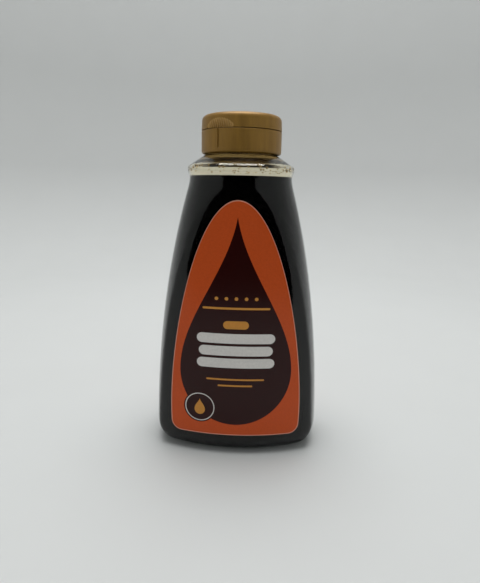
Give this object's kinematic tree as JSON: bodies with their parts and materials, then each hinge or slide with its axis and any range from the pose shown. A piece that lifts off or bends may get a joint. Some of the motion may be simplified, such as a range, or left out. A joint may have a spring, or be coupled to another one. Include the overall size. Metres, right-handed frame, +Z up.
{
  "type": "syrup bottle",
  "caption": "Clear flattened squeezy bottle filled with dark syrup, with a ring bead at the shoulder, an arched label on each broad face and a shut gold flip-top cap",
  "frame": {"origin": "on the surface the bottle stands on, under the middle of its base", "axes": "+Z up along the bottle, the front label faces -Y, +X to the viewer's right"},
  "size_m": [0.0902, 0.0552, 0.1748],
  "materials": {
    "clear_plastic": "clear blow-moulded PET, glossy",
    "syrup": "near-black amber syrup, dark red where it is thin",
    "gold_plastic": "satin moulded polypropylene with a gold pearl pigment",
    "label_print": "printed self-adhesive film, satin, orange and dark brown"
  },
  "bodies": {
    "root": {"bottle": "clear_plastic", "syrup": "syrup", "cap_base": "gold_plastic", "cap_lid": "gold_plastic", "cap_hinge": "gold_plastic", "label_front": "label_print", "label_back": "label_print"}
  },
  "joints": []
}
